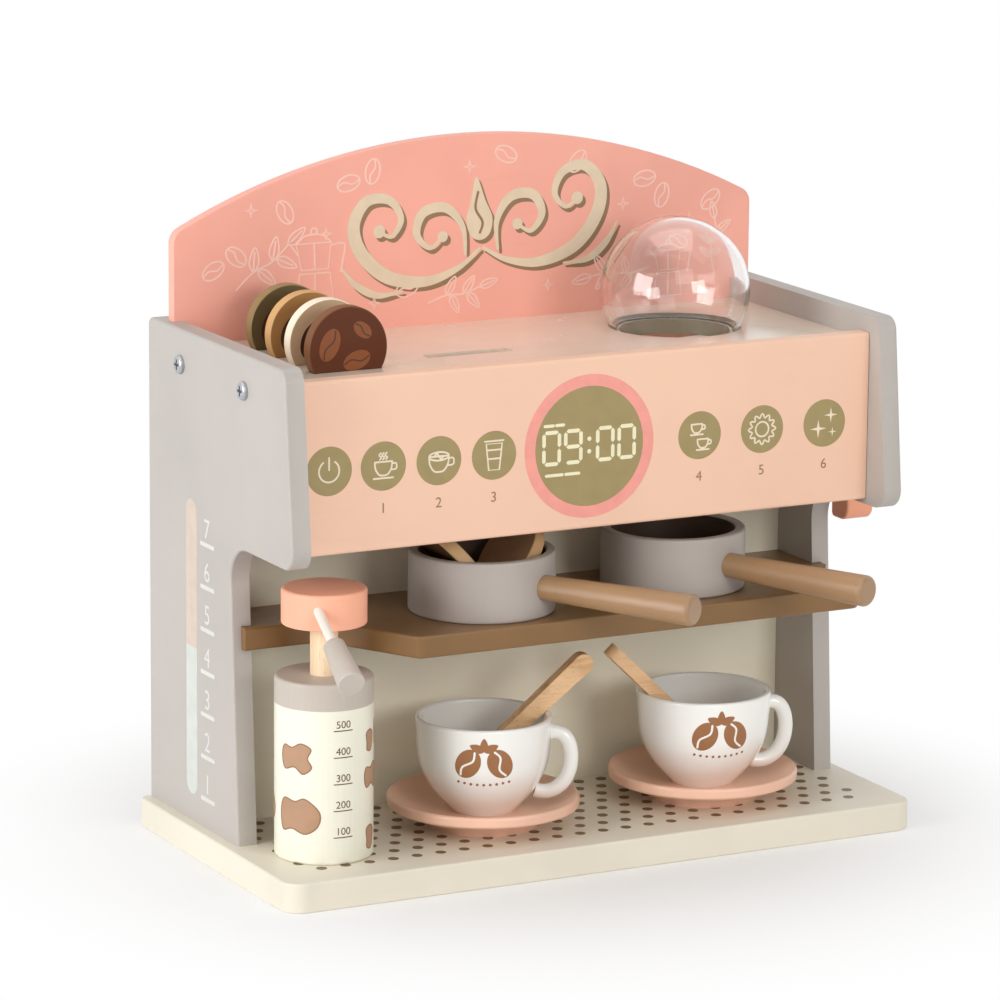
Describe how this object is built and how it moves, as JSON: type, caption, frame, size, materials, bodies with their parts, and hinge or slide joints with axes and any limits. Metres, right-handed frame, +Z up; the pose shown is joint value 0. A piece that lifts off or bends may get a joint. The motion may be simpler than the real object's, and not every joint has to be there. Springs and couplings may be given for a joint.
{
  "type": "toy coffee maker",
  "caption": "Wooden toy coffee maker with a shelf, portafilters, cups on saucers, a pump bottle, tokens and a clear bean dome.",
  "frame": {"origin": "centre of the base board's underside", "axes": "+X to the viewer's right along the front, +Y to the back, +Z up; the front faces -Y"},
  "size_m": [0.3504, 0.2167, 0.3347],
  "materials": {
    "natural_wood": "satin",
    "spoon_wood": "satin",
    "brown_wood": "satin",
    "grey_paint": "satin",
    "cream_paint": "satin",
    "gloss_cream_paint": "glossy",
    "peach_paint": "satin",
    "salmon_paint": "satin",
    "base_paint": "satin",
    "saucer_paint": "satin",
    "cup_paint": "glossy",
    "bottle_paint": "satin",
    "coral_paint": "satin",
    "lid_paint": "satin",
    "bowl_paint": "satin",
    "token_brown": "satin",
    "token_cream": "satin",
    "token_tan": "satin",
    "token_olive": "satin",
    "clear_dome": "clear",
    "rod_white": "matte",
    "steel_screw": "brushed",
    "spring_steel": "brushed",
    "washer_fibre": "matte"
  },
  "bodies": {
    "frame": {"base_board": "base_paint", "left_side_panel": "grey_paint", "right_side_panel": "grey_paint", "header_board": "salmon_paint", "back_panel": "cream_paint", "top_board": "gloss_cream_paint", "fascia_panel": "peach_paint", "shelf": "brown_wood", "side_screws": "steel_screw", "base_screws": "steel_screw", "shelf_screws": "steel_screw", "header_screws": "steel_screw", "fascia_dowels": "natural_wood", "lever_screw": "steel_screw", "lever_washer": "washer_fibre"},
    "dome": {"dome": "clear_dome"},
    "lever": {"side_lever": "coral_paint"},
    "left_filter": {"left_filter_bowl": "bowl_paint", "left_filter_handle": "brown_wood"},
    "right_filter": {"right_filter_bowl": "bowl_paint", "right_filter_handle": "brown_wood"},
    "left_saucer": {"left_saucer": "saucer_paint"},
    "right_saucer": {"right_saucer": "saucer_paint"},
    "left_cup": {"left_cup": "cup_paint"},
    "right_cup": {"right_cup": "cup_paint"},
    "left_spoon": {"left_spoon": "spoon_wood"},
    "right_spoon": {"right_spoon": "spoon_wood"},
    "bottle": {"bottle_body": "bottle_paint", "bottle_lid": "lid_paint", "pump_spring": "spring_steel"},
    "pump": {"pump_stem": "natural_wood", "pump_knob": "coral_paint", "spout_rod": "rod_white", "spout_sleeve": "lid_paint"},
    "token_1": {"token_1": "token_brown"},
    "token_2": {"token_2": "token_cream"},
    "token_3": {"token_3": "token_tan"},
    "token_4": {"token_4": "token_olive"},
    "token_5": {"token_5": "token_tan"},
    "token_6": {"token_6": "token_cream"}
  },
  "joints": [
    {"name": "dome_lift", "type": "slide", "parent": "frame", "child": "dome", "axis": [0, 0, 1], "range_m": [0, 0.05]},
    {"name": "lever_turn", "type": "hinge", "parent": "frame", "child": "lever", "pos_m": [0.1654, -0.0161, 0.1825], "axis": [1, 0, 0], "continuous": true},
    {"name": "left_filter_slide", "type": "slide", "parent": "frame", "child": "left_filter", "axis": [0, -1, 0], "range_m": [0, 0.1]},
    {"name": "right_filter_slide", "type": "slide", "parent": "frame", "child": "right_filter", "axis": [0, -1, 0], "range_m": [0, 0.1]},
    {"name": "token_5_lift", "type": "slide", "parent": "left_filter", "child": "token_5", "axis": [0, 0, 1], "range_m": [0, 0.035]},
    {"name": "token_6_lift", "type": "slide", "parent": "left_filter", "child": "token_6", "axis": [0, 0, 1], "range_m": [0, 0.035]},
    {"name": "left_saucer_slide", "type": "slide", "parent": "frame", "child": "left_saucer", "axis": [0, -1, 0], "range_m": [0, 0.13]},
    {"name": "right_saucer_slide", "type": "slide", "parent": "frame", "child": "right_saucer", "axis": [0, -1, 0], "range_m": [0, 0.13]},
    {"name": "left_cup_lift", "type": "slide", "parent": "left_saucer", "child": "left_cup", "axis": [0, 0, 1], "range_m": [0, 0.012]},
    {"name": "right_cup_lift", "type": "slide", "parent": "right_saucer", "child": "right_cup", "axis": [0, 0, 1], "range_m": [0, 0.012]},
    {"name": "left_spoon_pull", "type": "slide", "parent": "left_cup", "child": "left_spoon", "axis": [0.7432, -0.1311, 0.6561], "range_m": [0, 0.018]},
    {"name": "right_spoon_pull", "type": "slide", "parent": "right_cup", "child": "right_spoon", "axis": [-0.7063, 0.0993, 0.7009], "range_m": [0, 0.018]},
    {"name": "bottle_slide", "type": "slide", "parent": "frame", "child": "bottle", "axis": [0, -1, 0], "range_m": [0, 0.13]},
    {"name": "pump_press", "type": "slide", "parent": "bottle", "child": "pump", "axis": [0, 0, -1], "range_m": [0, 0.01], "stiffness_N_per_m": 180, "springref_m": -0.01, "deforming": ["pump_spring"]},
    {"name": "token_1_lift", "type": "slide", "parent": "frame", "child": "token_1", "axis": [0, 0, 1], "range_m": [0, 0.04]},
    {"name": "token_2_lift", "type": "slide", "parent": "frame", "child": "token_2", "axis": [0, 0, 1], "range_m": [0, 0.04]},
    {"name": "token_3_lift", "type": "slide", "parent": "frame", "child": "token_3", "axis": [0, 0, 1], "range_m": [0, 0.04]},
    {"name": "token_4_lift", "type": "slide", "parent": "frame", "child": "token_4", "axis": [0, 0, 1], "range_m": [0, 0.04]}
  ]
}
